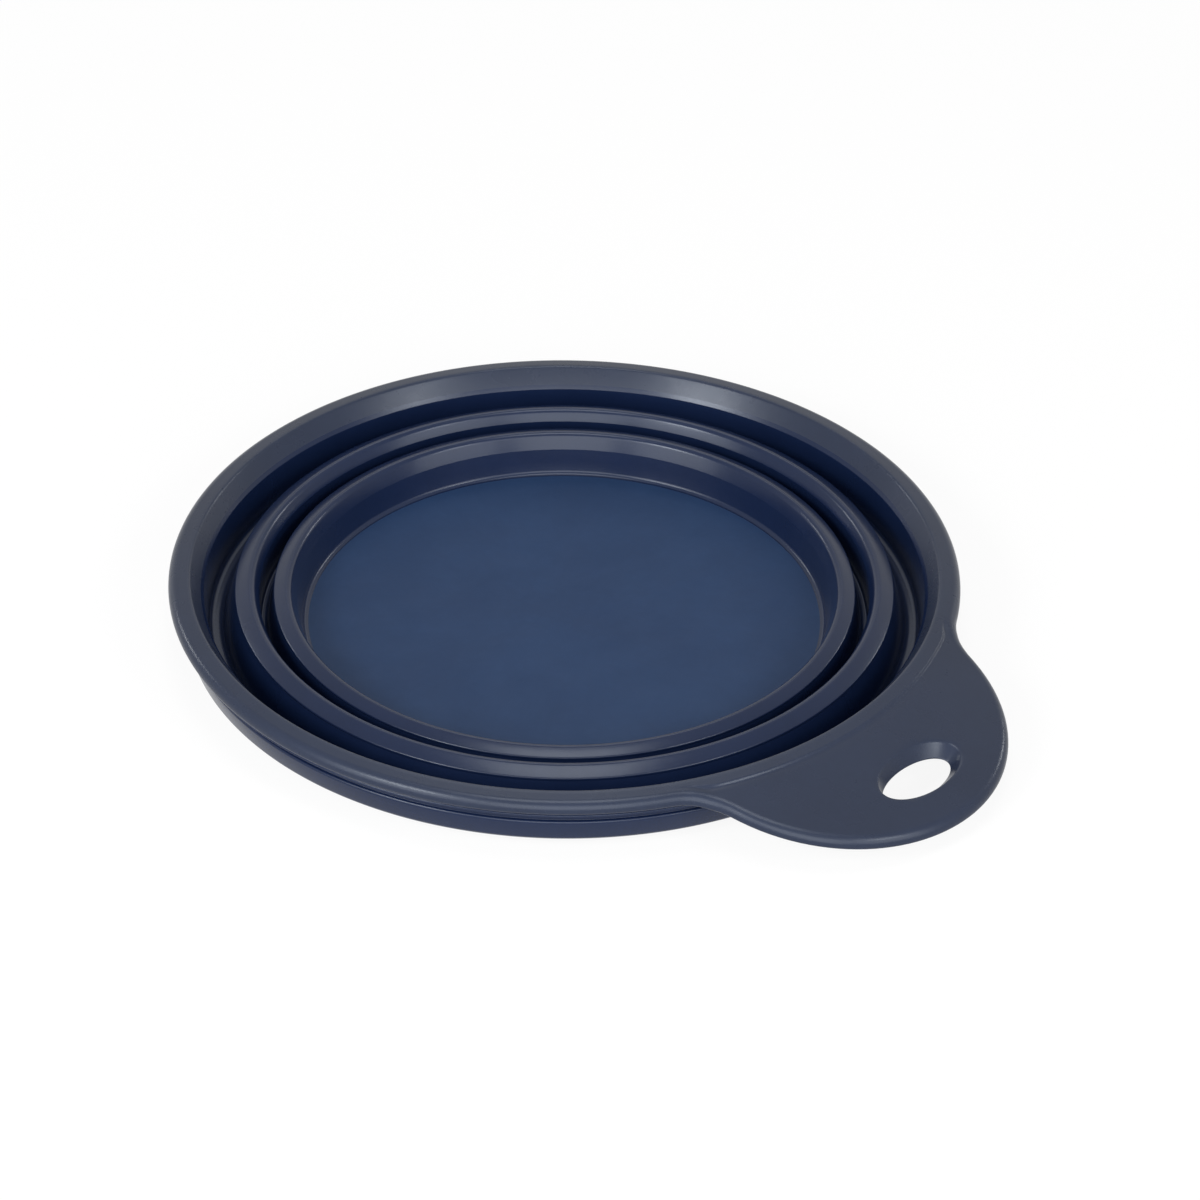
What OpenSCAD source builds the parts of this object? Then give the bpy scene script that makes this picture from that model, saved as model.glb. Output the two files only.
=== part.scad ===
// Collapsible silicone bowl, folded flat, with a hanging tab on its rim.
// The origin is the middle of the base's underside, +Z is up and the tab points along +X.
// Each fold web hangs between two walls; each wall outside a web rises when the bowl opens.

/* [Rim] */
// Outer diameter of the rim
rim_d = 140; // [110:1:180]
// Height of the folded bowl at its lip
bowl_h = 12.3; // [11:0.1:15]
// Radial width of the rim's flat top
rim_w = 3.7; // [3:0.1:3.8]
// Thickness of the rim and the tab
rim_t = 2.2; // [2:0.1:2.5]
// Rounding of the rim's upper outer edge
rim_round = 1.4; // [0.6:0.1:1.4]
// Rounding of the rim's lower outer edge
rim_under_round = 0.6; // [0.3:0.1:0.6]
// Rounding of the lip
lip_round = 0.9; // [0.3:0.1:1.1]
// Fall of the rim's top towards its edge, in degrees
rim_slope = 9.5; // [4:0.5:11]

/* [Hanging tab] */
// Distance from the rim's edge to the tab's tip
tab_out = 22.5; // [18:0.5:28]
// Radius of the tab's round tip
tab_tip_r = 32.2; // [26:0.2:38]
// Radius of the hollow curve at each side of the tab's root
tab_neck_r = 13.3; // [8:0.1:20]
// Fall of the tab towards its tip, in degrees
tab_droop = 15; // [5:1:18]
// Step down from the rim to the tab
tab_step = 0.35; // [0.2:0.05:0.5]
// Distance from the tab's tip to the middle of the hanging hole
hole_in = 10.7; // [9:0.1:13]
// Length of the hanging hole, along the rim
hole_l = 17; // [10:0.2:22]
// Width of the hanging hole, away from the rim
hole_w = 8; // [5:0.2:10]

/* [Outer wall] */
// Radial width of the flare below the lip, inside the bowl
lip_flare = 2.5; // [2:0.1:3.2]
// Drop from the lip to the lower edge of the flare
flare_drop = 3.5; // [3.3:0.1:4]
// How far the outer wall's inside leans out from its foot to the flare
outer_lean = 0.9; // [0.5:0.1:1.4]
// Thickness of the outer wall at its foot
outer_foot_t = 3.9; // [3:0.1:4.4]
// Rise of the outer wall's underside to its outer edge
outer_foot_rise = 1.4; // [0.4:0.1:2]
// How far the rim overhangs the outer wall's shoulder
rim_overhang = 2.1; // [1.8:0.1:2.7]
// Rounding of the outer wall's foot
outer_foot_round = 1.2; // [0.6:0.1:1.6]
// How far the rim overhangs the collar that it lies on
collar_inset = 0.8; // [0.7:0.1:1.2]
// Width of the collar's sloping top
collar_top_w = 0.6; // [0.4:0.1:0.8]
// Fall of the collar's sloping top
collar_fall = 0.6; // [0.4:0.1:0.7]
// Height of the collar
collar_h = 0.9; // [0.8:0.1:1.2]
// Height of the parting groove under the collar
groove_h = 1.9; // [1:0.1:2.4]
// Depth of the parting groove into the shoulder
groove_d = 0.7; // [0.5:0.1:1]
// Rounding of the shoulder below the groove
shoulder_round = 0.5; // [0.2:0.1:0.6]

/* [Middle wall] */
// Drop from the lip to the middle wall's ridge
middle_drop = 1.9; // [1.6:0.1:2.8]
// Fall of that ridge's top from its crest to its outer edge
middle_fall = 1.6; // [1.2:0.1:1.8]
// Width of the bevel on the inside of the middle wall's ridge
middle_bevel_w = 1.2; // [1:0.1:1.5]
// Height of that bevel
middle_bevel_h = 2.35; // [2.05:0.05:2.65]
// How far the middle wall's inside leans out from its foot to that bevel
middle_lean = 0.1; // [0.1:0.1:0.6]
// Thickness of the middle wall
middle_t = 3.2; // [2.9:0.1:3.4]
// Rounding of the middle wall's foot
foot_round = 0.4; // [0.2:0.1:0.7]

/* [Inner wall and base] */
// Drop from the middle wall's ridge to the inner wall's ridge
inner_drop = 0.9; // [0.5:0.1:1.4]
// Fall of that ridge's top from its crest to its outer edge
inner_fall = 1.3; // [1:0.1:1.6]
// Width of the bevel on the inside of the inner wall's ridge
inner_bevel_w = 1.3; // [1.1:0.1:1.6]
// Height of that bevel
inner_bevel_h = 3.15; // [2.85:0.05:3.45]
// How far the inner wall's inside leans out from the floor to that bevel
inner_lean = 1.1; // [0.8:0.1:1.6]
// Thickness of the inner wall
inner_t = 3; // [2.7:0.1:3.1]
// Thickness of the floor
floor_t = 1.8; // [1.2:0.1:2.4]
// Rounding of the ridges' crests
crest_round = 1.1; // [0.3:0.1:1.2]
// Rounding of the ridges' outer edges
ridge_round = 0.4; // [0.2:0.1:0.5]
// Rounding under the edge of the base
base_round = 0.8; // [0.3:0.1:1]
// Fillet between the floor and the inner wall
floor_fillet = 0.8; // [0.4:0.1:1.6]

/* [Folds] */
// Level distance that the outer fold spans, from its ridge to the outer wall
outer_fold_span = 4.5; // [4.2:0.1:5.6]
// Level distance that the inner fold spans, from its ridge to the middle wall
inner_fold_span = 2.3; // [2.2:0.05:3]
// Thickness of the outer fold, measured level
outer_fold_t = 1.3; // [0.8:0.05:1.8]
// Thickness of the inner fold, measured level
inner_fold_t = 1; // [0.6:0.05:1.2]
// Height of the folds' and the walls' undersides above the ground
fold_clear = 0.8; // [0.5:0.1:1.2]
// Thickness of the folds across their valleys
valley_t = 1; // [0.7:0.05:1.3]
// Drop from a ridge's outer edge to the upper edge of its fold
fold_drop = 0.5; // [0.4:0.1:0.9]
// Height over which a fold joins its ridge
fold_join = 1.8; // [1:0.1:2.4]
// Fillets of the outer valley
outer_valley_round = 1; // [0.5:0.1:1.2]
// Fillets of the inner valley
inner_valley_round = 0.35; // [0.2:0.05:0.4]
// Gap between a fold's outer end and the wall that moves away from it
fold_gap = 0.3; // [0.25:0.05:0.4]

/* [Hidden] */

$fn = 128;
// Number of flats that stand for a rounded corner
corner_steps = 5;
// Number of sides of the oval hole
oval_sides = 64;
// Overrun of cuts past the surfaces that they open
overrun = 1;

rim_colour = [0.21, 0.22, 0.29];
silicone_colour = [0.16, 0.21, 0.31];
floor_colour = [0.22, 0.28, 0.39];

// Largest shares of the rim's thickness that the roundings of its two outer edges may take
upper_share = 0.65;
lower_share = 0.3;

// Radii, from the rim inwards
rim_r = rim_d / 2;
lip_r = rim_r - rim_w;
flare_r = lip_r - lip_flare;
outer_foot_r = flare_r - outer_lean;
middle_ridge_out_r = outer_foot_r - outer_fold_span;
middle_ridge_r = middle_ridge_out_r - middle_t;
middle_bevel_r = middle_ridge_r - middle_bevel_w;
middle_foot_r = middle_bevel_r - middle_lean;
middle_foot_out_r = middle_foot_r + middle_t;
inner_ridge_out_r = middle_foot_r - inner_fold_span;
inner_ridge_r = inner_ridge_out_r - inner_t;
inner_bevel_r = inner_ridge_r - inner_bevel_w;
floor_r = inner_bevel_r - inner_lean;
base_r = floor_r + inner_t;
collar_r = rim_r - collar_inset;
collar_top_r = collar_r - collar_top_w;
shoulder_r = rim_r - rim_overhang;
groove_r = shoulder_r - groove_d;
outer_foot_out_r = outer_foot_r + outer_foot_t;
floor_seam_r = floor_r - floor_fillet;
outer_toe_r = outer_foot_r - outer_valley_round;
middle_toe_r = middle_foot_r - inner_valley_round;
outer_fold_end_r = outer_toe_r - fold_gap;
inner_fold_end_r = middle_toe_r - fold_gap;

// Heights, from the lip down
rim_edge_z = bowl_h - rim_w * tan(rim_slope);
seat_z = rim_edge_z - rim_t;
flare_z = bowl_h - flare_drop;
collar_z = seat_z - collar_h;
shoulder_z = collar_z - groove_h;
outer_foot_z = fold_clear + outer_foot_rise;
middle_ridge_z = bowl_h - middle_drop;
middle_edge_z = middle_ridge_z - middle_fall;
middle_bevel_z = middle_ridge_z - middle_bevel_h;
inner_ridge_z = middle_ridge_z - inner_drop;
inner_edge_z = inner_ridge_z - inner_fall;
inner_bevel_z = inner_ridge_z - inner_bevel_h;
outer_fold_top_z = middle_edge_z - fold_drop;
inner_fold_top_z = inner_edge_z - fold_drop;
valley_z = fold_clear + valley_t;

// Places on the tab
tab_reach = rim_r + tab_out;
tab_tip_x = tab_reach - tab_tip_r;
hole_x = tab_reach - hole_in;

// Roundings of the rim's edges, limited by its thickness
upper_round = min(rim_round, rim_t * upper_share);
lower_round = min(rim_under_round, rim_t * lower_share);
tab_start_r = rim_r - upper_round;

// Height of the tab's underside at radius r
function tab_under(r) = seat_z - tab_step - (r - rim_r) * tan(tab_droop);

// Point on the straight line from a to b, at height z
function at_height(a, b, z) = [a.x + (b.x - a.x) * (z - a.y) / (b.y - a.y), z];

// Point inside the bowl at which the rim meets the outer wall, on the flare
seat_in = at_height([flare_r, flare_z], [lip_r, bowl_h], seat_z);

function unit(v) = v / norm(v);
function polar_angle(v) = atan2(v.y, v.x);
function short_turn(a) = a > 180 ? a - 360 : a < -180 ? a + 360 : a;

// Points of the arc of radius r that rounds corner b between the points a and c
function corner_arc(a, b, c, r) =
    let (u = unit(a - b), v = unit(c - b), half = acos(u * v) / 2,
         centre = b + unit(u + v) * r / sin(half),
         start = polar_angle(b + u * r / tan(half) - centre),
         turn = short_turn(polar_angle(b + v * r / tan(half) - centre) - start))
    [for (i = [0 : corner_steps]) centre
        + r * [cos(start + turn * i / corner_steps), sin(start + turn * i / corner_steps)]];

// Outline of [x, y, rounding] corners, with each corner rounded that has a rounding
function rounded(corners) = [for (i = [0 : len(corners) - 1])
    let (n = len(corners), p = corners[i], a = corners[(i + n - 1) % n], c = corners[(i + 1) % n])
    each p[2] > 0
        ? corner_arc([a.x, a.y], [p.x, p.y], [c.x, c.y], p[2])
        : [[p.x, p.y]]];

// Ring with the given outline of [radius, height, rounding] corners
module ring(corners) {
    rotate_extrude() polygon(rounded(corners));
}

// Flat round floor of the bowl
module bowl_floor() {
    color(floor_colour) cylinder(r = floor_seam_r, h = floor_t);
}

// Wall that stands on the edge of the base and ends in the inner ridge
module inner_wall() {
    color(silicone_colour) ring([
        [floor_seam_r, 0, 0],
        [base_r, 0, base_round],
        [inner_ridge_out_r, inner_edge_z, ridge_round],
        [inner_ridge_r, inner_ridge_z, crest_round],
        [inner_bevel_r, inner_bevel_z, 0],
        [floor_r, floor_t, floor_fillet],
        [floor_seam_r, floor_t, 0]]);
}

// Wall between the two folds, which ends in the outer ridge
module middle_wall() {
    color(silicone_colour) ring([
        [middle_toe_r, fold_clear, 0],
        [middle_foot_out_r, fold_clear, foot_round],
        [middle_ridge_out_r, middle_edge_z, ridge_round],
        [middle_ridge_r, middle_ridge_z, crest_round],
        [middle_bevel_r, middle_bevel_z, 0],
        [middle_foot_r, valley_z, inner_valley_round],
        [middle_toe_r, valley_z, 0]]);
}

// Web that hangs from the outside of a ridge wall, down and out to its valley
module fold_web(wall_foot, wall_ridge, top_z, end_r, valley_round, web_t) {
    top = at_height(wall_foot, wall_ridge, top_z);
    root = at_height(wall_foot, wall_ridge, top_z - fold_join);
    ring([
        [top.x, top.y, 0],
        [end_r - valley_round, valley_z, valley_round],
        [end_r, valley_z, 0],
        [end_r, fold_clear, 0],
        [end_r - valley_round - web_t, fold_clear, valley_round],
        [root.x, root.y, 0]]);
}

module inner_fold() {
    color(silicone_colour) fold_web([base_r, 0], [inner_ridge_out_r, inner_edge_z],
        inner_fold_top_z, inner_fold_end_r, inner_valley_round, inner_fold_t);
}

module outer_fold() {
    color(silicone_colour) fold_web([middle_foot_out_r, fold_clear],
        [middle_ridge_out_r, middle_edge_z],
        outer_fold_top_z, outer_fold_end_r, outer_valley_round, outer_fold_t);
}

// Outside wall of the folded bowl, which carries the rim
module outer_wall() {
    color(silicone_colour) ring([
        [outer_toe_r, fold_clear, 0],
        [outer_foot_out_r, outer_foot_z, outer_foot_round],
        [shoulder_r, shoulder_z, shoulder_round],
        [groove_r, shoulder_z, 0],
        [groove_r, collar_z, 0],
        [collar_r, collar_z, 0],
        [collar_r, seat_z - collar_fall, 0],
        [collar_top_r, seat_z, 0],
        [seat_in.x, seat_in.y, 0],
        [flare_r, flare_z, 0],
        [outer_foot_r, valley_z, outer_valley_round],
        [outer_toe_r, valley_z, 0]]);
}

// Rounded ring that lies on the outer wall
module rim_ring() {
    ring([
        [seat_in.x, seat_in.y, 0],
        [rim_r, seat_z, lower_round],
        [rim_r, rim_edge_z, upper_round],
        [lip_r, bowl_h, lip_round]]);
}

// Tab in plan: a round tip with a hollow curve on each side, where it meets the rim
module tab_plan() {
    to_rim = rim_r + tab_neck_r;
    to_tip = tab_tip_r + tab_neck_r;
    neck_x = (to_rim ^ 2 - to_tip ^ 2 + tab_tip_x ^ 2) / (2 * tab_tip_x);
    neck_y = sqrt(to_rim ^ 2 - neck_x ^ 2);
    difference() {
        union() {
            translate([tab_tip_x, 0]) circle(r = tab_tip_r);
            polygon([[0, 0], [neck_x, -neck_y], [tab_tip_x, 0], [neck_x, neck_y]]);
        }
        for (side = [-1, 1]) translate([neck_x, side * neck_y]) circle(r = tab_neck_r);
    }
}

// Tab that falls away from the rim, as a slice of a wide cone
module tab() {
    end_r = tab_reach + overrun;
    intersection() {
        rotate_extrude() polygon([
            [tab_start_r, tab_under(tab_start_r)],
            [end_r, tab_under(end_r)],
            [end_r, tab_under(end_r) + rim_t],
            [tab_start_r, tab_under(tab_start_r) + rim_t]]);
        linear_extrude(height = bowl_h + overrun) tab_plan();
    }
}

// Oval opening in the tab, for a finger or a hook
module hanging_hole() {
    translate([hole_x, 0, -overrun]) linear_extrude(height = bowl_h + 2 * overrun)
        polygon([for (i = [0 : oval_sides - 1]) let (a = 360 * i / oval_sides)
            [hole_w / 2 * cos(a), hole_l / 2 * sin(a)]]);
}

module rim_frame() {
    color(rim_colour) difference() {
        union() {
            rim_ring();
            tab();
        }
        hanging_hole();
    }
}

bowl_floor();
inner_wall();
inner_fold();
middle_wall();
outer_fold();
outer_wall();
rim_frame();
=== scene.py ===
"""Dressed model of a collapsible silicone bowl, folded flat, with a hanging tab on its rim."""

import logging
import math
from dataclasses import dataclass, field
from enum import Enum
from typing import NamedTuple, Sequence

import bmesh
import bpy
from mathutils import Matrix, Vector


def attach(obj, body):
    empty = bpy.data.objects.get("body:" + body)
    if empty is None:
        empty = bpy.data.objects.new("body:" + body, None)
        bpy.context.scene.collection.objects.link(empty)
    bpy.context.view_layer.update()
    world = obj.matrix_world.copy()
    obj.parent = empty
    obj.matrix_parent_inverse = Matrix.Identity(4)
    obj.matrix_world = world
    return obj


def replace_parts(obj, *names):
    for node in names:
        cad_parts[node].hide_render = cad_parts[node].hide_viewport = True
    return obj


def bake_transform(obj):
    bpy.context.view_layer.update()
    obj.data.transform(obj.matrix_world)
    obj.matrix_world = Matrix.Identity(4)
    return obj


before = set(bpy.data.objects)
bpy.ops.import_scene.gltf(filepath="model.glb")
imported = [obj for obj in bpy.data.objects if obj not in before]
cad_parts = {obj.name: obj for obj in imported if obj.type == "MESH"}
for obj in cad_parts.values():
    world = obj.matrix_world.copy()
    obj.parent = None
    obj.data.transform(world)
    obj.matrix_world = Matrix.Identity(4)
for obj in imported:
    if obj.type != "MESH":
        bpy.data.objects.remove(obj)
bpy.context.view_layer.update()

MM = 0.001
NOISE_MIDDLE = 0.5

log = logging.getLogger("bowl")

Colour = tuple[float, float, float]


class Slot(Enum):
    """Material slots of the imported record."""

    FLOOR = "silicone_floor"
    WALL = "silicone_wall"
    RIM = "silicone_rim"


class Corner(NamedTuple):
    """Corner of a ring's outline, in millimetres: distance from the axis, height and rounding."""

    radius: float
    height: float
    rounding: float = 0.0


class Pattern(NamedTuple):
    """Cloudy pattern: clouds per metre, octaves and the share of the finer octaves."""

    scale: float
    detail: float
    roughness: float


class Channel:
    """Shader socket that takes part in Python arithmetic, one Math node for each step."""

    def __init__(self, graph: "FinishGraph", socket: bpy.types.NodeSocket) -> None:
        """Wrap a socket.

        Args:
            graph: Graph that the socket belongs to.
            socket: Output socket to wrap.
        """
        self.graph = graph
        self.socket = socket

    def _math(self, operation: str, first: "Channel | float",
              second: "Channel | float") -> "Channel":
        """Add one Math node.

        Args:
            operation: Operation of the Math node.
            first: First operand.
            second: Second operand.

        Returns:
            The node's result.
        """
        return self.graph.node("ShaderNodeMath", {"operation": operation}, {0: first, 1: second})

    def __add__(self, other: "Channel | float") -> "Channel":
        """Sum."""
        return self._math("ADD", self, other)

    def __radd__(self, other: float) -> "Channel":
        """Sum with the number first."""
        return self._math("ADD", other, self)

    def __sub__(self, other: "Channel | float") -> "Channel":
        """Difference."""
        return self._math("SUBTRACT", self, other)

    def __rsub__(self, other: float) -> "Channel":
        """Difference with the number first."""
        return self._math("SUBTRACT", other, self)

    def __mul__(self, other: "Channel | float") -> "Channel":
        """Product."""
        return self._math("MULTIPLY", self, other)

    def __rmul__(self, other: float) -> "Channel":
        """Product with the number first."""
        return self._math("MULTIPLY", other, self)


class FinishGraph:
    """Node tree of a material or of the world, built call by call."""

    def __init__(self, tree: bpy.types.NodeTree) -> None:
        """Empty a node tree to start with.

        Args:
            tree: Tree to fill.
        """
        self.tree = tree
        self.tree.nodes.clear()

    def node(self, kind: str, settings: dict[str, object], inputs: dict[str | int, object],
             output: str | int = 0) -> Channel | None:
        """Add a node, set it up and fill its sockets.

        Args:
            kind: Type of the node.
            settings: Properties, which are set before the sockets are filled.
            inputs: Values or channels, by socket name or place.
            output: Socket that is returned.

        Returns:
            The chosen output, or None from an output node.
        """
        made = self.tree.nodes.new(kind)
        for key, value in settings.items():
            setattr(made, key, value)
        for key, value in inputs.items():
            if isinstance(value, Channel):
                self.tree.links.new(value.socket, made.inputs[key])
            else:
                made.inputs[key].default_value = value
        return Channel(self, made.outputs[output]) if len(made.outputs) else None

    def noise(self, pattern: Pattern) -> Channel:
        """Cloudy value from 0 to 1, fixed to the piece.

        Args:
            pattern: Pattern that the value follows.

        Returns:
            The cloudy value.
        """
        place = self.node("ShaderNodeTexCoord", {}, {}, "Object")
        return self.node("ShaderNodeTexNoise", {}, {
            "Vector": place, "Scale": pattern.scale, "Detail": pattern.detail,
            "Roughness": pattern.roughness})

    def stretch(self, value: Channel, low: float, high: float) -> Channel:
        """Stretch a range of a value to 0..1, with soft ends.

        Args:
            value: Value to stretch.
            low: Value that becomes 0.
            high: Value that becomes 1.

        Returns:
            The stretched value.
        """
        return self.node("ShaderNodeMapRange", {"interpolation_type": "SMOOTHSTEP"},
                         {"Value": value, "From Min": low, "From Max": high})

    def mix(self, share: Channel, first: Colour, second: Colour) -> Channel:
        """Mix two colours.

        Args:
            share: Share of the second colour.
            first: Colour at share 0.
            second: Colour at share 1.

        Returns:
            The mixed colour.
        """
        return self.node("ShaderNodeMix", {"data_type": "RGBA"},
                         {"Factor": share, 6: (*first, 1.0), 7: (*second, 1.0)}, 2)

    def white_rays(self) -> Channel:
        """Mask that is 1 for the camera, for reflections and for what is seen through glass."""
        masks = [self.node("ShaderNodeLightPath", {}, {}, name)
                 for name in ("Is Camera Ray", "Is Glossy Ray", "Is Transmission Ray")]
        return self.node("ShaderNodeClamp", {}, {"Value": masks[0] + masks[1] + masks[2]})


@dataclass(frozen=True)
class SiliconeFinish:
    """Silicone with a satin skin, faint clouds in its colour and the fine grain of its mould; its
    base colours carry painted light and shade.

    Depths are in millimetres.
    """

    name: str
    # Base colours: the silicone's own navy with painted light or painted shade mixed in, set per
    # copy below.
    tone_with_painted_light: Colour
    pale_tone_with_painted_light: Colour
    roughness: float
    gloss: float
    roughness_spread: float = 0.1
    scuffs: Pattern = Pattern(138.0, 4.0, 0.6)
    clouds: Pattern = Pattern(46.0, 5.0, 0.62)
    cloud_ends: tuple[float, float] = (0.34, 0.68)
    specks: Pattern = Pattern(700.0, 3.0, 0.7)
    speck_ends: tuple[float, float] = (0.4, 0.7)
    speck_share: float = 0.25
    grain: Pattern = Pattern(4200.0, 2.0, 0.5)
    grain_depth: float = 0.006
    peel: Pattern = Pattern(380.0, 2.0, 0.5)
    peel_depth: float = 0.012
    ior: float = 1.43
    # Blue tint on the reflections: a painted colour cast that stands in for cool lamp light.
    cool_lamp_reflection_tint: Colour = (0.88, 0.94, 1.0)

    def material(self) -> bpy.types.Material:
        """Build the material.

        Returns:
            The silicone material.
        """
        made = bpy.data.materials.new(self.name)
        made.use_nodes = True
        graph = FinishGraph(made.node_tree)
        clouds = graph.stretch(graph.noise(self.clouds), *self.cloud_ends)
        specks = graph.stretch(graph.noise(self.specks), *self.speck_ends)
        tone = clouds * (1 - self.speck_share) + specks * self.speck_share
        scuffs = graph.noise(self.scuffs)
        grain = graph.noise(self.grain) * (self.grain_depth * MM)
        peel = graph.noise(self.peel) * (self.peel_depth * MM)
        bump = graph.node("ShaderNodeBump", {}, {
            "Strength": 1.0, "Distance": 1.0, "Height": grain + peel})
        surface = graph.node("ShaderNodeBsdfPrincipled", {}, {
            "Base Color": graph.mix(tone, self.tone_with_painted_light, self.pale_tone_with_painted_light),
            "Roughness": (scuffs - NOISE_MIDDLE) * self.roughness_spread + self.roughness,
            "Normal": bump,
            "IOR": self.ior,
            "Specular IOR Level": self.gloss,
            "Specular Tint": (*self.cool_lamp_reflection_tint, 1.0)})
        graph.node("ShaderNodeOutputMaterial", {}, {"Surface": surface})
        return made


# Three copies of one silicone. The floor copy is lighter and bluer, as painted light on its upward
# face. The wall copy is darker, as painted shade on the walls. The rim copy is lighter and greyer,
# as painted light and painted sheen on the rim's top.
FLOOR_SILICONE_PAINTED_LIT = SiliconeFinish(
    "silicone_floor_painted_lit", tone_with_painted_light=(0.006, 0.0205, 0.06), pale_tone_with_painted_light=(0.0088, 0.0266, 0.073),
    roughness=0.62, gloss=0.34)
WALL_SILICONE_PAINTED_SHADE = SiliconeFinish(
    "silicone_wall_painted_shade", tone_with_painted_light=(0.0042, 0.0094, 0.031), pale_tone_with_painted_light=(0.0054, 0.0114, 0.0365),
    roughness=0.23, gloss=0.36)
RIM_SILICONE_PAINTED_SHEEN = SiliconeFinish(
    "silicone_rim_painted_sheen", tone_with_painted_light=(0.0144, 0.0195, 0.037), pale_tone_with_painted_light=(0.0162, 0.0222, 0.0425),
    roughness=0.28, gloss=0.31)


@dataclass(frozen=True)
class Bench:
    """Workbench that turns outlines into meshes, and meshes into pieces."""

    segments: int = 384
    corner_steps: int = 6
    weld: float = 0.002
    smooth_angle: float = math.radians(32)

    def outline(self, corners: Sequence[Corner], longest: float) -> bmesh.types.BMesh:
        """Closed wire outline in the XZ plane, with its corners rounded.

        Args:
            corners: Corners in order, in millimetres.
            longest: Longest edge that is left whole, in millimetres.

        Returns:
            A mesh of wire edges, in millimetres.
        """
        mesh = bmesh.new()
        points = [mesh.verts.new((corner.radius, 0.0, corner.height)) for corner in corners]
        for here, there in zip(points, points[1:] + points[:1]):
            mesh.edges.new((here, there))
        for point, corner in zip(points, corners):
            if corner.rounding:
                first, second = (edge.other_vert(point).co - point.co for edge in point.link_edges)
                reach = corner.rounding / math.tan(first.angle(second) / 2)
                bmesh.ops.bevel(mesh, geom=[point], offset=reach, offset_type="OFFSET",
                                segments=self.corner_steps, profile=0.5, affect="VERTICES",
                                clamp_overlap=False, material=-1)
        for cuts in range(1, 1 + math.floor(max(e.calc_length() for e in mesh.edges) / longest)):
            edges = [e for e in mesh.edges if cuts < e.calc_length() / longest <= cuts + 1]
            if edges:
                bmesh.ops.subdivide_edges(mesh, edges=edges, cuts=cuts)
        return mesh

    def ring(self, corners: Sequence[Corner], longest: float = 3.0) -> bmesh.types.BMesh:
        """Solid ring with the given outline.

        Args:
            corners: Corners of the outline, in millimetres.
            longest: Longest edge of the outline that is left whole, in millimetres.

        Returns:
            The ring's closed surface, in millimetres.
        """
        mesh = self.outline(corners, longest)
        bmesh.ops.spin(mesh, geom=mesh.verts[:] + mesh.edges[:], cent=(0, 0, 0), axis=(0, 0, 1),
                       angle=math.tau, steps=self.segments, use_merge=True)
        bmesh.ops.remove_doubles(mesh, verts=mesh.verts[:], dist=self.weld)
        bmesh.ops.recalc_face_normals(mesh, faces=mesh.faces[:])
        return mesh

    def cut(self, mesh: bmesh.types.BMesh, cutter: bmesh.types.BMesh) -> bmesh.types.BMesh:
        """Cut one closed mesh out of another.

        Args:
            mesh: Mesh to cut, which is freed.
            cutter: Mesh to take away, which is freed.

        Returns:
            What is left.
        """
        plate, plug = (self.place("cut_work", part) for part in (mesh, cutter))
        modifier = plate.modifiers.new("cut", "BOOLEAN")
        modifier.operation = "DIFFERENCE"
        modifier.solver = "EXACT"
        modifier.object = plug
        shown = plate.evaluated_get(bpy.context.evaluated_depsgraph_get())
        result = bmesh.new()
        result.from_mesh(shown.to_mesh())
        shown.to_mesh_clear()
        for part in (plate, plug):
            data = part.data
            bpy.data.objects.remove(part)
            bpy.data.meshes.remove(data)
        return result

    def place(self, name: str, mesh: bmesh.types.BMesh) -> bpy.types.Object:
        """Put a mesh into the scene as it is.

        Args:
            name: Name of the object.
            mesh: Its mesh, which is freed.

        Returns:
            The object, at the origin.
        """
        data = bpy.data.meshes.new(name)
        mesh.to_mesh(data)
        mesh.free()
        made = bpy.data.objects.new(name, data)
        bpy.context.scene.collection.objects.link(made)
        return made

    def piece(self, name: str, mesh: bmesh.types.BMesh, finish: bpy.types.Material,
              slot: Slot) -> bpy.types.Object:
        """Turn a mesh in millimetres into a finished piece in metres.

        Args:
            name: Name of the piece.
            mesh: Its mesh, which is freed.
            finish: Its material.
            slot: Not used.

        Returns:
            The piece, at the origin.
        """
        bmesh.ops.scale(mesh, vec=(MM, MM, MM), verts=mesh.verts[:])
        made = self.place(name, mesh)
        made.data.shade_smooth()
        made.data.set_sharp_from_angle(angle=self.smooth_angle)
        made.data.materials.append(finish)
        log.info("%s: %d faces", name, len(made.data.polygons))
        return made


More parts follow.
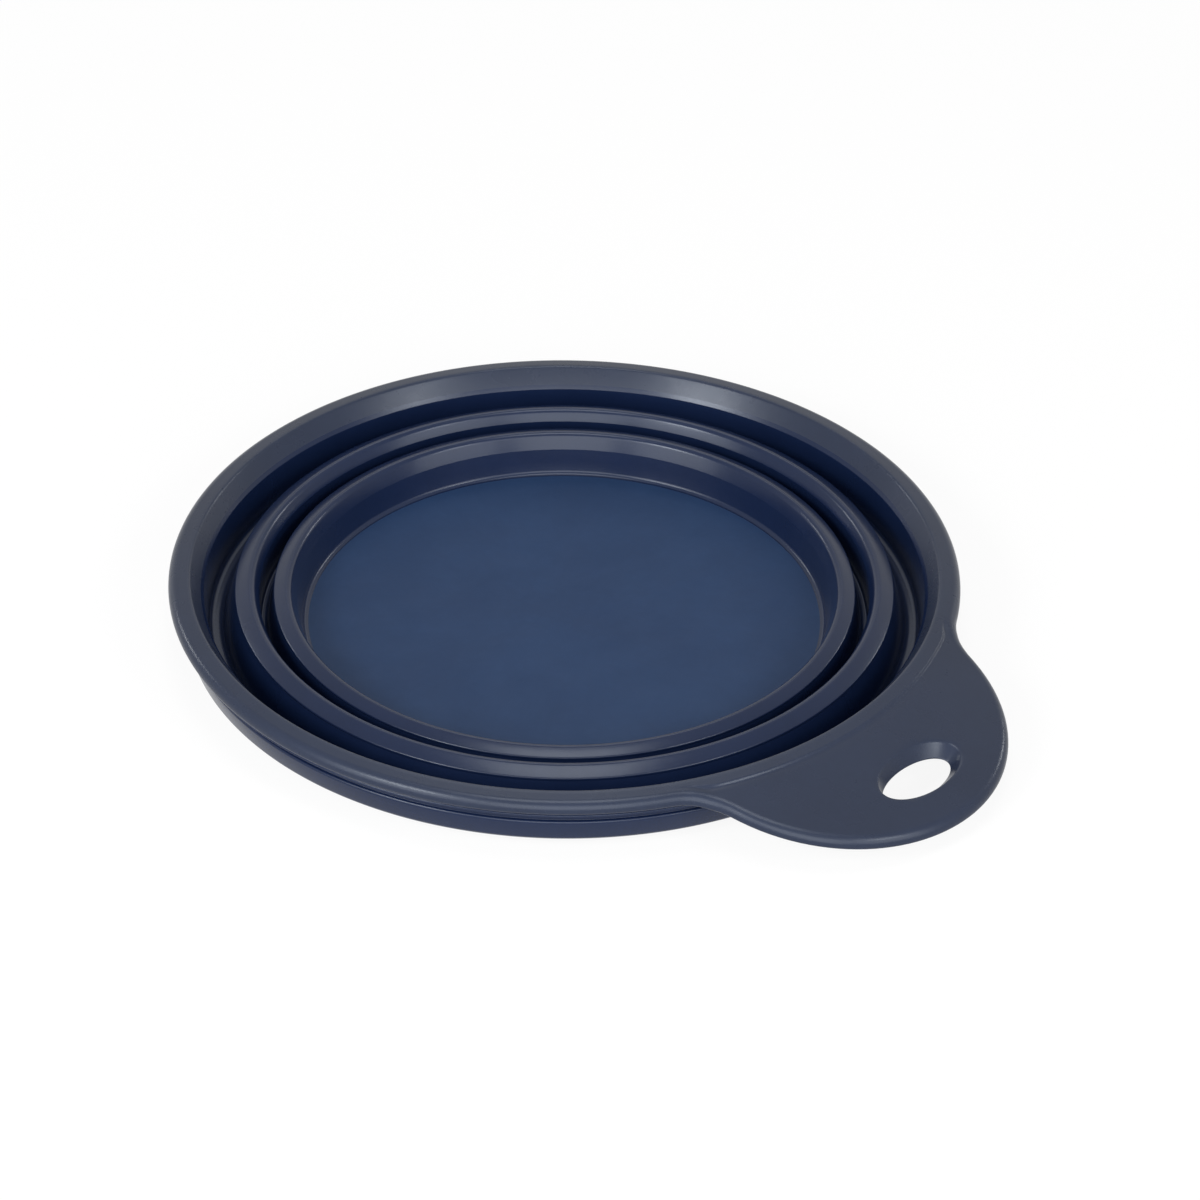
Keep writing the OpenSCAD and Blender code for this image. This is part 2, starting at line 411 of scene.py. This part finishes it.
@dataclass
class Base:
    """Floor of the bowl and the stiff wall on its edge, up to the inner ridge. In millimetres."""

    bench: Bench
    floor_r: float = 46.2
    floor_t: float = 1.8
    floor_fillet: float = 0.8
    wall_t: float = 3.0
    ridge_r: float = 48.6
    ridge_z: float = 9.5
    ridge_fall: float = 1.3
    ridge_round: float = 1.1
    edge_round: float = 0.4
    bevel_w: float = 1.3
    bevel_h: float = 3.15
    bevel_round: float = 0.25
    foot_round: float = 0.8

    def __post_init__(self) -> None:
        """Work out the seam of the floor, and the wall's foot and ridge on its outside."""
        self.seam_r = self.floor_r - self.floor_fillet
        self.foot = Corner(self.floor_r + self.wall_t, 0, self.foot_round)
        self.ridge = Corner(self.ridge_r + self.wall_t, self.ridge_z - self.ridge_fall,
                            self.edge_round)

    def floor(self, finish: bpy.types.Material) -> None:
        """Build the floor.

        Args:
            finish: Its material.
        """
        mesh = bmesh.new()
        bmesh.ops.create_circle(mesh, cap_ends=True, segments=self.bench.segments,
                                radius=self.seam_r)
        risen = bmesh.ops.extrude_face_region(mesh, geom=mesh.faces[:])["geom"]
        bmesh.ops.translate(mesh, vec=(0, 0, self.floor_t),
                            verts=[v for v in risen if isinstance(v, bmesh.types.BMVert)])
        bmesh.ops.recalc_face_normals(mesh, faces=mesh.faces[:])
        piece = self.bench.piece("floor_disc", mesh, finish, Slot.FLOOR)
        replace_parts(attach(piece, "base"), "bowl_floor")

    def wall(self, finish: bpy.types.Material) -> None:
        """Build the wall.

        Args:
            finish: Its material.
        """
        mesh = self.bench.ring([
            Corner(self.seam_r, 0),
            self.foot,
            self.ridge,
            Corner(self.ridge_r, self.ridge_z, self.ridge_round),
            Corner(self.ridge_r - self.bevel_w, self.ridge_z - self.bevel_h, self.bevel_round),
            Corner(self.floor_r, self.floor_t, self.floor_fillet),
            Corner(self.seam_r, self.floor_t)])
        piece = self.bench.piece("inner_band", mesh, finish, Slot.WALL)
        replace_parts(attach(piece, "base"), "inner_wall")


@dataclass
class MiddleRing:
    """Stiff wall between the two folds. In millimetres."""

    bench: Bench
    foot_r: float = 53.9
    wall_t: float = 3.2
    ridge_r: float = 55.2
    ridge_z: float = 10.4
    ridge_fall: float = 1.6
    ridge_round: float = 1.1
    edge_round: float = 0.4
    bevel_w: float = 1.2
    bevel_h: float = 2.35
    bevel_round: float = 0.25
    foot_round: float = 0.4
    clear: float = 0.8
    valley_z: float = 1.8
    valley_round: float = 0.35

    def __post_init__(self) -> None:
        """Work out the toe inside the wall, and its foot and ridge on its outside."""
        self.toe_r = self.foot_r - self.valley_round
        self.foot = Corner(self.foot_r + self.wall_t, self.clear, self.foot_round)
        self.ridge = Corner(self.ridge_r + self.wall_t, self.ridge_z - self.ridge_fall,
                            self.edge_round)

    def wall(self, finish: bpy.types.Material) -> None:
        """Build the wall.

        Args:
            finish: Its material.
        """
        mesh = self.bench.ring([
            Corner(self.toe_r, self.clear),
            self.foot,
            self.ridge,
            Corner(self.ridge_r, self.ridge_z, self.ridge_round),
            Corner(self.ridge_r - self.bevel_w, self.ridge_z - self.bevel_h, self.bevel_round),
            Corner(self.foot_r, self.valley_z, self.valley_round),
            Corner(self.toe_r, self.valley_z)])
        piece = self.bench.piece("middle_band", mesh, finish, Slot.WALL)
        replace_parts(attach(piece, "middle"), "middle_wall")


@dataclass
class OuterRing:
    """Outside wall, flared towards the lip, with a groove under the rim. In millimetres."""

    bench: Bench
    foot_r: float = 62.9
    foot_t: float = 3.9
    foot_rise: float = 1.4
    foot_round: float = 1.2
    clear: float = 0.8
    valley_z: float = 1.8
    valley_round: float = 1.0
    shoulder_r: float = 67.9
    shoulder_round: float = 0.5
    groove_h: float = 1.9
    groove_d: float = 0.7
    groove_round: float = 0.2
    collar_r: float = 69.2
    collar_top_w: float = 0.6
    collar_fall: float = 0.6
    collar_h: float = 0.9
    collar_round: float = 0.2
    flare_round: float = 0.3

    def __post_init__(self) -> None:
        """Work out the toe inside the wall."""
        self.toe_r = self.foot_r - self.valley_round

    def wall(self, rim: "RimFrame", finish: bpy.types.Material) -> None:
        """Build the wall.

        Args:
            rim: Rim that the wall carries.
            finish: Its material.
        """
        collar_z = rim.seat_z - self.collar_h
        shoulder_z = collar_z - self.groove_h
        groove_r = self.shoulder_r - self.groove_d
        mesh = self.bench.ring([
            Corner(self.toe_r, self.clear),
            Corner(self.foot_r + self.foot_t, self.clear + self.foot_rise, self.foot_round),
            Corner(self.shoulder_r, shoulder_z, self.shoulder_round),
            Corner(groove_r, shoulder_z, self.groove_round),
            Corner(groove_r, collar_z, self.groove_round),
            Corner(self.collar_r, collar_z, self.collar_round / 2),
            Corner(self.collar_r, rim.seat_z - self.collar_fall, self.collar_round),
            Corner(self.collar_r - self.collar_top_w, rim.seat_z),
            Corner(rim.seat_r, rim.seat_z),
            Corner(rim.flare_r, rim.flare_z, self.flare_round),
            Corner(self.foot_r, self.valley_z, self.valley_round),
            Corner(self.toe_r, self.valley_z)])
        piece = self.bench.piece("outer_band", mesh, finish, Slot.WALL)
        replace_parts(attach(piece, "rim"), "outer_wall")


@dataclass
class Fold:
    """Thin web from a ridge down to the next wall, which turns inside out. In millimetres."""

    bench: Bench
    inside: Base | MiddleRing
    outside: MiddleRing | OuterRing
    web_t: float
    drop: float = 0.5
    join: float = 1.8
    gap: float = 0.3
    tuck: float = 0.3
    step: float = 0.45

    def build(self, name: str, bodies: tuple[str, str], node: str,
              finish: bpy.types.Material) -> None:
        """Build the web between the walls on its two sides.

        Args:
            name: Name of the piece.
            bodies: Body inside it and body outside it; not used.
            node: Solid that it stands for.
            finish: Its material.
        """
        ridge, foot, wall = self.inside.ridge, self.inside.foot, self.outside
        lean = (ridge.radius - foot.radius) / (ridge.height - foot.height)
        top = Corner(ridge.radius - lean * self.drop, ridge.height - self.drop)
        root = Corner(top.radius - lean * self.join, top.height - self.join)
        bend_r = wall.toe_r - self.gap - wall.valley_round
        mesh = self.bench.ring([
            Corner(top.radius - self.tuck, top.height),
            top,
            Corner(bend_r, wall.valley_z, wall.valley_round),
            Corner(wall.toe_r, wall.valley_z),
            Corner(wall.toe_r, wall.clear),
            Corner(bend_r - self.web_t, wall.clear, wall.valley_round),
            Corner(root.radius - self.tuck, root.height)], self.step)
        piece = self.bench.piece(name, mesh, finish, Slot.WALL)
        top.height * MM
        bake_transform(piece)
        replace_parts(piece, node)


@dataclass
class RimFrame:
    """Flat rim with its hanging tab, made flat and then laid on its cone. In millimetres."""

    bench: Bench
    lip_r: float = 66.3
    lip_z: float = 12.3
    flare_r: float = 63.8
    flare_z: float = 8.8
    rim_r: float = 70.0
    thick: float = 2.2
    slope: float = math.radians(9.5)
    edge_round: float = 1.4
    under_round: float = 0.6
    lip_round: float = 0.9
    tab_out: float = 22.5
    tip_r: float = 32.2
    neck_r: float = 13.3
    droop: float = math.radians(15)
    step: float = 0.35
    step_zone: tuple[float, float] = (68.75, 69.3)
    step_shares: tuple[float, float] = (0.3, 0.55)
    step_runout: float = 2.0
    zone_spare: tuple[float, float] = (1.1, 1.05)
    rows: int = 32
    hole_in: float = 10.9
    hole_half: tuple[float, float] = (3.1, 7.9)
    hole_flare: float = 1.6
    hole_flare_shift: tuple[float, float] = (-0.15, 1.0)
    hole_rounds: tuple[float, float] = (0.5, 0.25)
    hole_lift: float = 0.03
    cutter_r: float = 10.0
    plug_spare: float = 1.5

    def __post_init__(self) -> None:
        """Work out the seat on the wall and the tab's outline in plan."""
        self.edge_drop = (self.rim_r - self.lip_r) * math.tan(self.slope)
        self.seat_z = self.lip_z - self.edge_drop - self.thick
        lean = (self.lip_r - self.flare_r) / (self.lip_z - self.flare_z)
        self.seat_r = self.flare_r + (self.seat_z - self.flare_z) * lean
        self.tip = Vector((self.rim_r + self.tab_out - self.tip_r, 0.0))
        self.hole_x = self.rim_r + self.tab_out - self.hole_in
        to_rim, to_tip = self.rim_r + self.neck_r, self.tip_r + self.neck_r
        neck_x = (to_rim ** 2 - to_tip ** 2 + self.tip.x ** 2) / (2 * self.tip.x)
        self.neck = Vector((neck_x, math.sqrt(to_rim ** 2 - neck_x ** 2)))
        meeting = self.tip + (self.neck - self.tip).normalized() * self.tip_r
        self.tip_turn = math.atan2(meeting.y, meeting.x)
        self.root_turn = math.atan2(self.neck.y, self.neck.x)

    def edge(self, turn: float) -> tuple[Vector, Vector]:
        """Find the outline in one direction.

        Args:
            turn: Angle from the tab's middle line, seen from the bowl's axis, in radians.

        Returns:
            Point of the outline in plan, and the unit vector from there into the rubber.
        """
        ray = Vector((math.cos(turn), math.sin(turn)))
        if abs(turn) >= self.root_turn:
            return ray * self.rim_r, -ray
        centre, radius, side = self.tip, self.tip_r, 1
        if abs(turn) >= self.tip_turn:
            centre = Vector((self.neck.x, math.copysign(self.neck.y, turn)))
            radius, side = self.neck_r, -1
        along = centre.dot(ray)
        inside = radius ** 2 - centre.length_squared + along ** 2
        reach = along + side * math.sqrt(max(inside, 0.0))
        return ray * reach, (centre - ray * reach).normalized() * side

    def pull_out(self, point: Vector) -> Vector:
        """Move a point of the plain rim out to its place in the tab, still flat.

        Args:
            point: Point of the plain rim.

        Returns:
            Its place on the rim with a tab.
        """
        plan = point.xy
        turn = math.atan2(plan.y, plan.x)
        lip_zone, edge_zone = self.zones()
        inset = self.rim_r - plan.length
        if abs(turn) >= self.root_turn or inset >= lip_zone:
            return point
        ray = plan.normalized()
        start_r = self.rim_r - lip_zone
        outline, inward = self.edge(turn)
        outer = outline + inward * min(inset, edge_zone)
        share = min((lip_zone - inset) / (lip_zone - edge_zone), 1)
        top, foot = (min(zone, start_r + (outer.length - start_r) * part)
                     for zone, part in zip(self.step_zone, self.step_shares))
        upper, lower = self.step_shares
        if share < upper:
            moved = ray * (start_r + (top - start_r) * share / upper)
        elif share < lower:
            moved = ray * (top + (foot - top) * (share - upper) / (lower - upper))
        else:
            moved = (ray * foot).lerp(outer, (share - lower) / (1 - lower))
        sunk = self.soft((share - upper) / (lower - upper))
        sunk *= self.soft((outline.length - self.rim_r) / self.step_runout)
        return Vector((moved.x, moved.y, point.z - sunk * self.step))

    @staticmethod
    def soft(value: float) -> float:
        """Turn a value smoothly from 0 at 0 to 1 at 1."""
        held = min(max(value, 0), 1)
        return held * held * (3 - 2 * held)

    def zones(self) -> tuple[float, float]:
        """Insets between which the tab stretches the rim: the inner one and the outer one."""
        inner_spare, outer_spare = self.zone_spare
        width = self.rim_r - self.lip_r
        return width - self.lip_round * inner_spare, self.edge_round * outer_spare

    def lay(self, point: Vector) -> Vector:
        """Lay a flat point on the cone of the rim and the tab.

        Args:
            point: Point of the flat rim, with its height counted from the top.

        Returns:
            Its place on the bowl.
        """
        radius = point.xy.length
        depth = -point.z / self.thick
        on_rim = (min(max(radius, self.lip_r), self.rim_r) - self.lip_r) * math.tan(self.slope)
        on_tab = max(radius - self.rim_r, 0) * math.tan(self.droop)
        drop = on_rim * (1 - depth) + self.edge_drop * depth + on_tab
        return Vector((point.x, point.y, self.lip_z + point.z - drop))

    def plain_rim(self) -> bmesh.types.BMesh:
        """Flat rim without its tab, with rows of points that the tab will stretch.

        Returns:
            The flat rim.
        """
        inner, outer = self.zones()
        rows = [self.rim_r - inner + (inner - outer) * i / self.rows for i in range(self.rows + 1)]
        return self.bench.ring([
            Corner(self.seat_r, -self.thick),
            *(Corner(radius, -self.thick) for radius in rows),
            Corner(self.rim_r, -self.thick, self.under_round),
            Corner(self.rim_r, 0, self.edge_round),
            *(Corner(radius, 0) for radius in reversed(rows)),
            Corner(self.lip_r, 0, self.lip_round)])

    def hole(self) -> bmesh.types.BMesh:
        """Oval plug that flares at both ends, so that the hanging hole gets rounded edges.

        Returns:
            The plug, standing in its place in the flat tab.
        """
        top_round, low_round = self.hole_rounds
        wide, high = self.cutter_r + self.hole_flare * self.plug_spare, self.thick
        top, low = self.hole_lift - self.step, -self.step - self.thick - self.hole_lift
        plug = self.bench.ring([
            Corner(0, top + high),
            Corner(wide, top + high),
            Corner(wide, top),
            Corner(self.cutter_r + self.hole_flare, top, top_round),
            Corner(self.cutter_r, low, low_round),
            Corner(wide, low),
            Corner(wide, low - high),
            Corner(0, low - high)])
        for vert in plug.verts:
            radius = vert.co.xy.length
            spoke = vert.co.xy / radius if radius else vert.co.xy
            share, flare = min(radius / self.cutter_r, 1), max(radius - self.cutter_r, 0)
            shift = Vector(self.hole_flare_shift) * min(flare / self.hole_flare, 1)
            vert.co.xy = (self.hole_x + spoke.x * (self.hole_half[0] * share + flare) + shift.x,
                          spoke.y * (self.hole_half[1] * share + flare) + shift.y)
        return plug

    def build(self, finish: bpy.types.Material) -> None:
        """Build the rim with its tab and hanging hole.

        Args:
            finish: Its material.
        """
        mesh = self.plain_rim()
        for vert in mesh.verts:
            vert.co = self.pull_out(vert.co)
        mesh = self.bench.cut(mesh, self.hole())
        for vert in mesh.verts:
            vert.co = self.lay(vert.co)
        bmesh.ops.recalc_face_normals(mesh, faces=mesh.faces[:])
        piece = self.bench.piece("rim_and_tab", mesh, finish, Slot.RIM)
        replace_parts(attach(piece, "rim"), "rim_frame")


CAMERA_AZIMUTH = -47.7
CAMERA_ELEVATION = 34.4175


def direction(azimuth: float, elevation: float) -> Vector:
    """Unit vector towards a place in the studio.

    Args:
        azimuth: Angle from the tab's middle line, in degrees.
        elevation: Angle above the floor, in degrees.

    Returns:
        The unit vector.
    """
    turn, rise = math.radians(azimuth), math.radians(elevation)
    level = math.cos(rise)
    return Vector((math.cos(turn) * level, math.sin(turn) * level, math.sin(rise)))


@dataclass(frozen=True)
class Softbox:
    """Square studio lamp that faces the bowl, placed from the camera's side.

    Angles are in degrees, lengths in metres and power in watts.
    """

    name: str
    azimuth: float
    elevation: float
    distance: float
    size: float
    power: float

    def put_up(self) -> None:
        """Hang the lamp."""
        data = bpy.data.lights.new(self.name, "AREA")
        data.shape = "SQUARE"
        data.size = self.size
        data.energy = self.power
        lamp = bpy.data.objects.new(self.name, data)
        bpy.context.scene.collection.objects.link(lamp)
        lamp.location = direction(CAMERA_AZIMUTH + self.azimuth, self.elevation) * self.distance
        lamp.rotation_euler = lamp.location.to_track_quat("Z", "Y").to_euler()
        lamp.visible_camera = False


@dataclass
class Studio:
    """Pale floor, white surroundings, softboxes and the camera of the photograph."""

    camera_distance: float = 1.26
    aim_z: float = 0.0105
    aim_right: float = 0.005
    aim_up: float = -0.00318
    roll: float = 0.01054
    lens: float = 213.72
    sensor: float = 36.0
    floor_size: float = 8.0
    floor_white: float = 0.86
    floor_glow: float = 0.9
    ambient: float = 0.06
    softboxes: list[Softbox] = field(default_factory=lambda: [
        Softbox("front_box", 0, 21, 1.1, 0.8, 8.2),
        Softbox("left_front_box", -45, 22, 1.1, 0.7, 5.8),
        Softbox("right_front_box", 45, 22, 1.1, 0.7, 5.0),
        Softbox("left_spark_box", -46, 37, 1.1, 0.3, 4.6),
        Softbox("right_spark_box", 50, 38, 1.1, 0.25, 1.9),
        Softbox("top_box", 0, 88, 1.1, 0.45, 3.6),
        Softbox("back_box", 180, 50, 1.1, 0.25, 0.7),
        Softbox("left_back_box", -126, 23, 1.1, 0.14, 0.9),
        Softbox("right_back_box", 126, 23, 1.1, 0.14, 0.9)])

    def camera(self) -> None:
        """Set up the camera at the photograph's viewing angle."""
        back = direction(CAMERA_AZIMUTH, CAMERA_ELEVATION)
        right = Vector((0, 0, 1)).cross(back).normalized()
        up = back.cross(right)
        forward = (-back + right * self.aim_right + up * self.aim_up).normalized()
        right = forward.cross(Vector((0, 0, 1))).normalized()
        up = right.cross(forward)
        turned_right = right * math.cos(self.roll) + up * math.sin(self.roll)
        turned_up = up * math.cos(self.roll) - right * math.sin(self.roll)
        data = bpy.data.cameras.new("photo_camera")
        data.lens = self.lens
        data.sensor_width = self.sensor
        made = bpy.data.objects.new("photo_camera", data)
        bpy.context.scene.collection.objects.link(made)
        place = back * self.camera_distance + Vector((0, 0, self.aim_z))
        axes = Matrix((turned_right, turned_up, -forward)).transposed().to_4x4()
        made.matrix_world = Matrix.Translation(place) @ axes
        bpy.context.scene.camera = made

    def surroundings(self) -> None:
        """Make the world: plain ambient light, and white where it is seen or reflected."""
        world = bpy.data.worlds.new("studio_world")
        world.use_nodes = True
        bpy.context.scene.world = world
        graph = FinishGraph(world.node_tree)
        light, white = (graph.node("ShaderNodeBackground", {},
                                   {"Color": (1, 1, 1, 1), "Strength": strength})
                        for strength in (self.ambient, 1.0))
        mixed = graph.node("ShaderNodeMixShader", {},
                           {"Fac": graph.white_rays(), 1: light, 2: white})
        graph.node("ShaderNodeOutputWorld", {}, {"Surface": mixed})

    def floor(self) -> None:
        """Lay the pale floor, which keeps a faint shadow and can't be seen from below."""
        mesh = bmesh.new()
        bmesh.ops.create_grid(mesh, x_segments=1, y_segments=1, size=self.floor_size / 2)
        sheet = Bench().place("studio_floor", mesh)
        material = bpy.data.materials.new("pale_floor")
        material.use_nodes = True
        graph = FinishGraph(material.node_tree)
        matt = graph.node("ShaderNodeBsdfDiffuse", {}, {"Color": (*[self.floor_white] * 3, 1)})
        glow = graph.node("ShaderNodeEmission", {}, {"Color": (1, 1, 1, 1), "Strength": 1.0})
        clear = graph.node("ShaderNodeBsdfTransparent", {}, {})
        lit = graph.node("ShaderNodeMixShader", {},
                         {"Fac": graph.white_rays() * self.floor_glow, 1: matt, 2: glow})
        below = graph.node("ShaderNodeNewGeometry", {}, {}, "Backfacing")
        shown = graph.node("ShaderNodeMixShader", {}, {"Fac": below, 1: lit, 2: clear})
        graph.node("ShaderNodeOutputMaterial", {}, {"Surface": shown})
        sheet.data.materials.append(material)

    def build(self) -> None:
        """Set up the whole studio."""
        bpy.context.scene.view_settings.view_transform = "Standard"
        self.camera()
        self.surroundings()
        self.floor()
        for softbox in self.softboxes:
            softbox.put_up()


def main() -> None:
    """Build the studio and the bowl."""
    logging.basicConfig(level=logging.INFO, format="%(name)s: %(message)s")
    Studio().build()
    bench = Bench()
    floor, wall, rim = (kind.material() for kind in (FLOOR_SILICONE_PAINTED_LIT, WALL_SILICONE_PAINTED_SHADE, RIM_SILICONE_PAINTED_SHEEN))
    base, middle = Base(bench), MiddleRing(bench)
    outer, frame_rim = OuterRing(bench), RimFrame(bench)
    base.floor(floor)
    base.wall(wall)
    Fold(bench, base, middle, web_t=1.0).build("inner_web", ("base", "middle"), "inner_fold", wall)
    middle.wall(wall)
    Fold(bench, middle, outer, web_t=1.3).build("outer_web", ("middle", "rim"), "outer_fold", wall)
    outer.wall(frame_rim, wall)
    frame_rim.build(rim)


if __name__ == "__main__":
    main()
